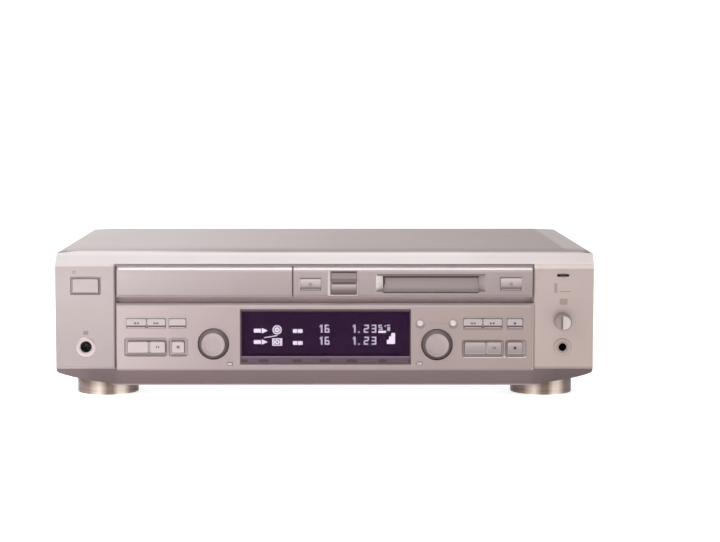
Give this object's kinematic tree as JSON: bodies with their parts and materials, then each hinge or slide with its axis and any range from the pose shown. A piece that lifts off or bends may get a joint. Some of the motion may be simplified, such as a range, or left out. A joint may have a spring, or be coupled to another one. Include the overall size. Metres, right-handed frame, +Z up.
{
  "type": "minidisc deck",
  "caption": "Full-width hi-fi deck with a motor disc tray on the left, a cartridge slot on the right, a dark display window, two dials and rows of keys under a sloping brow",
  "frame": {"origin": "under the middle of the deck, on the surface that the feet stand on", "axes": "X to the right seen from the front, Y to the rear, Z up"},
  "size_m": [0.43, 0.3026, 0.1181],
  "materials": {
    "front_silver": "champagne silver, fine satin",
    "cover_silver": "satin champagne paint on sheet steel",
    "key_silver": "silver painted plastic keys",
    "key_dark": "darker polished keys",
    "dial_metal": "turned dial caps with dark fluted skirt",
    "dark_glass": "smoked purple window",
    "tube_glass": "dark display tube",
    "zinc_steel": "zinc-plated sheet steel",
    "drive_steel": "bright sheet steel",
    "black_plastic": "black moulded plastic",
    "tray_plastic": "dark grey moulded tray",
    "white_acetal": "white acetal",
    "board": "green circuit board",
    "core_steel": "varnished transformer iron",
    "foot_metal": "turned and plated feet",
    "plated": "nickel plate",
    "screw_black": "black screws",
    "shaft_brass": "brass shafts"
  },
  "bodies": {
    "chassis": {"bottom_chassis": "zinc_steel", "rear_panel": "cover_silver", "top_cover": "cover_silver", "front_bezel": "front_silver", "lower_fascia": "front_silver", "md_fascia": "front_silver", "display_window": "dark_glass", "display_tube": "tube_glass", "control_board": "board", "cheek_boards": "board", "main_board": "board", "transformer": "core_steel", "cd_loader_frame": "black_plastic", "clamp_bridge": "drive_steel", "loading_motor": "drive_steel", "md_drive_frame": "drive_steel", "feet": "foot_metal", "case_screws": "screw_black", "phones_jack": "plated", "keyboard_socket": "black_plastic", "line_jacks": "black_plastic", "optical_sockets": "black_plastic", "mains_inlet": "black_plastic"},
    "cd_tray": {"cd_tray": "tray_plastic", "tray_front": "front_silver"},
    "loading_gear": {"loading_gear": "white_acetal"},
    "cd_base": {"cd_base": "drive_steel"},
    "cd_turntable": {"cd_turntable": "white_acetal"},
    "pickup_sled": {"pickup_sled": "black_plastic"},
    "disc_clamper": {"disc_clamper": "black_plastic"},
    "md_holder": {"md_holder": "drive_steel"},
    "md_turntable": {"md_turntable": "white_acetal"},
    "md_slot_flap": {"md_slot_flap": "key_dark"},
    "dial_shaft_left": {"dial_shaft_left": "shaft_brass"},
    "dial_left": {"dial_left": "dial_metal"},
    "dial_shaft_right": {"dial_shaft_right": "shaft_brass"},
    "dial_right": {"dial_right": "dial_metal"},
    "level_knob": {"level_knob": "dial_metal"},
    "timer_slider": {"timer_slider": "key_silver"},
    "power_button": {"power_button": "key_silver"},
    "cd_key_mode": {"cd_key_mode": "key_silver"},
    "cd_key_display": {"cd_key_display": "key_silver"},
    "cd_key_repeat": {"cd_key_repeat": "key_silver"},
    "cd_key_play": {"cd_key_play": "key_silver"},
    "cd_key_pause": {"cd_key_pause": "key_silver"},
    "cd_key_stop": {"cd_key_stop": "key_silver"},
    "md_key_mode": {"md_key_mode": "key_silver"},
    "md_key_display": {"md_key_display": "key_silver"},
    "md_key_record": {"md_key_record": "key_silver"},
    "md_key_play": {"md_key_play": "key_silver"},
    "md_key_pause": {"md_key_pause": "key_silver"},
    "md_key_stop": {"md_key_stop": "key_silver"},
    "cd_key_open": {"cd_key_open": "key_silver"},
    "md_key_eject": {"md_key_eject": "key_silver"},
    "timer_key_left": {"timer_key_left": "key_silver"},
    "timer_key_right": {"timer_key_right": "key_silver"},
    "input_key": {"input_key": "key_silver"},
    "scroll_key": {"scroll_key": "key_silver"},
    "dub_key_high": {"dub_key_high": "key_dark"},
    "dub_key_normal": {"dub_key_normal": "key_dark"}
  },
  "joints": [
    {"name": "cd_tray_slide", "type": "slide", "parent": "chassis", "child": "cd_tray", "axis": [0, -1, 0], "range_m": [0, 0.14]},
    {"name": "loading_gear_turn", "type": "hinge", "parent": "chassis", "child": "loading_gear", "pos_m": [-0.04575, -0.1049, 0.0796], "axis": [0, 0, -1], "range_deg": [0, 1003]},
    {"name": "cd_base_tilt", "type": "hinge", "parent": "chassis", "child": "cd_base", "pos_m": [-0.09595, 0.0186, 0.067], "axis": [1, 0, 0], "range_deg": [0, 5.5]},
    {"name": "cd_turntable_spin", "type": "hinge", "parent": "cd_base", "child": "cd_turntable", "pos_m": [-0.09595, -0.0729, 0.09], "axis": [0, 0, 1], "continuous": true},
    {"name": "pickup_sled_slide", "type": "slide", "parent": "cd_base", "child": "pickup_sled", "axis": [0, 1, 0], "range_m": [0, 0.033]},
    {"name": "disc_clamper_spin", "type": "hinge", "parent": "chassis", "child": "disc_clamper", "pos_m": [-0.09595, -0.0729, 0.098], "axis": [0, 0, 1], "continuous": true},
    {"name": "md_holder_drop", "type": "slide", "parent": "chassis", "child": "md_holder", "axis": [0, 0, -1], "range_m": [0, 0.004]},
    {"name": "md_turntable_spin", "type": "hinge", "parent": "chassis", "child": "md_turntable", "pos_m": [0.0851, -0.0779, 0.08], "axis": [0, 0, 1], "continuous": true},
    {"name": "md_slot_flap_swing", "type": "hinge", "parent": "chassis", "child": "md_slot_flap", "pos_m": [0.0851, -0.1315, 0.1006], "axis": [1, 0, 0], "range_deg": [0, 75], "stiffness_Nm_per_rad": 0.0015, "springref_deg": -17.19},
    {"name": "dial_left_turn", "type": "hinge", "parent": "chassis", "child": "dial_shaft_left", "pos_m": [-0.0889, -0.1399, 0.0442], "axis": [0, -1, 0], "continuous": true},
    {"name": "dial_left_push", "type": "slide", "parent": "dial_shaft_left", "child": "dial_left", "axis": [0, 1, 0], "range_m": [0, 0.0008], "stiffness_N_per_m": 500, "springref_m": -0.001},
    {"name": "dial_right_turn", "type": "hinge", "parent": "chassis", "child": "dial_shaft_right", "pos_m": [0.0901, -0.1399, 0.0437], "axis": [0, -1, 0], "continuous": true},
    {"name": "dial_right_push", "type": "slide", "parent": "dial_shaft_right", "child": "dial_right", "axis": [0, 1, 0], "range_m": [0, 0.0008], "stiffness_N_per_m": 500, "springref_m": -0.001},
    {"name": "level_knob_turn", "type": "hinge", "parent": "chassis", "child": "level_knob", "pos_m": [0.1905, -0.1399, 0.0624], "axis": [0, -1, 0], "range_deg": [-150, 150]},
    {"name": "timer_slider_slide", "type": "slide", "parent": "chassis", "child": "timer_slider", "axis": [1, 0, 0], "range_m": [-0.0025, 0.0025]},
    {"name": "power_button_push", "type": "slide", "parent": "chassis", "child": "power_button", "axis": [0, 1, 0], "range_m": [0, 0.003], "stiffness_N_per_m": 300, "springref_m": -0.002},
    {"name": "cd_key_mode_push", "type": "slide", "parent": "chassis", "child": "cd_key_mode", "axis": [0, 1, 0], "range_m": [0, 0.0008], "stiffness_N_per_m": 400, "springref_m": -0.001},
    {"name": "cd_key_display_push", "type": "slide", "parent": "chassis", "child": "cd_key_display", "axis": [0, 1, 0], "range_m": [0, 0.0008], "stiffness_N_per_m": 400, "springref_m": -0.001},
    {"name": "cd_key_repeat_push", "type": "slide", "parent": "chassis", "child": "cd_key_repeat", "axis": [0, 1, 0], "range_m": [0, 0.0008], "stiffness_N_per_m": 400, "springref_m": -0.001},
    {"name": "cd_key_play_push", "type": "slide", "parent": "chassis", "child": "cd_key_play", "axis": [0, 1, 0], "range_m": [0, 0.0008], "stiffness_N_per_m": 400, "springref_m": -0.001},
    {"name": "cd_key_pause_push", "type": "slide", "parent": "chassis", "child": "cd_key_pause", "axis": [0, 1, 0], "range_m": [0, 0.0008], "stiffness_N_per_m": 400, "springref_m": -0.001},
    {"name": "cd_key_stop_push", "type": "slide", "parent": "chassis", "child": "cd_key_stop", "axis": [0, 1, 0], "range_m": [0, 0.0008], "stiffness_N_per_m": 400, "springref_m": -0.001},
    {"name": "md_key_mode_push", "type": "slide", "parent": "chassis", "child": "md_key_mode", "axis": [0, 1, 0], "range_m": [0, 0.0008], "stiffness_N_per_m": 400, "springref_m": -0.001},
    {"name": "md_key_display_push", "type": "slide", "parent": "chassis", "child": "md_key_display", "axis": [0, 1, 0], "range_m": [0, 0.0008], "stiffness_N_per_m": 400, "springref_m": -0.001},
    {"name": "md_key_record_push", "type": "slide", "parent": "chassis", "child": "md_key_record", "axis": [0, 1, 0], "range_m": [0, 0.0008], "stiffness_N_per_m": 400, "springref_m": -0.001},
    {"name": "md_key_play_push", "type": "slide", "parent": "chassis", "child": "md_key_play", "axis": [0, 1, 0], "range_m": [0, 0.0008], "stiffness_N_per_m": 400, "springref_m": -0.001},
    {"name": "md_key_pause_push", "type": "slide", "parent": "chassis", "child": "md_key_pause", "axis": [0, 1, 0], "range_m": [0, 0.0008], "stiffness_N_per_m": 400, "springref_m": -0.001},
    {"name": "md_key_stop_push", "type": "slide", "parent": "chassis", "child": "md_key_stop", "axis": [0, 1, 0], "range_m": [0, 0.0008], "stiffness_N_per_m": 400, "springref_m": -0.001},
    {"name": "cd_key_open_push", "type": "slide", "parent": "chassis", "child": "cd_key_open", "axis": [0, 1, 0], "range_m": [0, 0.0008], "stiffness_N_per_m": 400, "springref_m": -0.001},
    {"name": "md_key_eject_push", "type": "slide", "parent": "chassis", "child": "md_key_eject", "axis": [0, 1, 0], "range_m": [0, 0.0008], "stiffness_N_per_m": 400, "springref_m": -0.001},
    {"name": "timer_key_left_push", "type": "slide", "parent": "chassis", "child": "timer_key_left", "axis": [0, 1, 0], "range_m": [0, 0.0008], "stiffness_N_per_m": 400, "springref_m": -0.001},
    {"name": "timer_key_right_push", "type": "slide", "parent": "chassis", "child": "timer_key_right", "axis": [0, 1, 0], "range_m": [0, 0.0008], "stiffness_N_per_m": 400, "springref_m": -0.001},
    {"name": "input_key_push", "type": "slide", "parent": "chassis", "child": "input_key", "axis": [0, 1, 0], "range_m": [0, 0.0008], "stiffness_N_per_m": 400, "springref_m": -0.001},
    {"name": "scroll_key_push", "type": "slide", "parent": "chassis", "child": "scroll_key", "axis": [0, 1, 0], "range_m": [0, 0.0008], "stiffness_N_per_m": 400, "springref_m": -0.001},
    {"name": "dub_key_high_push", "type": "slide", "parent": "chassis", "child": "dub_key_high", "axis": [0, 1, 0], "range_m": [0, 0.0008], "stiffness_N_per_m": 400, "springref_m": -0.001},
    {"name": "dub_key_normal_push", "type": "slide", "parent": "chassis", "child": "dub_key_normal", "axis": [0, 1, 0], "range_m": [0, 0.0008], "stiffness_N_per_m": 400, "springref_m": -0.001}
  ],
  "couplings": [
    {"joint": "loading_gear_turn", "follows": "cd_tray_slide", "rad_per_m": 125},
    {"joint": "disc_clamper_spin", "follows": "cd_turntable_spin", "ratio": 1}
  ]
}
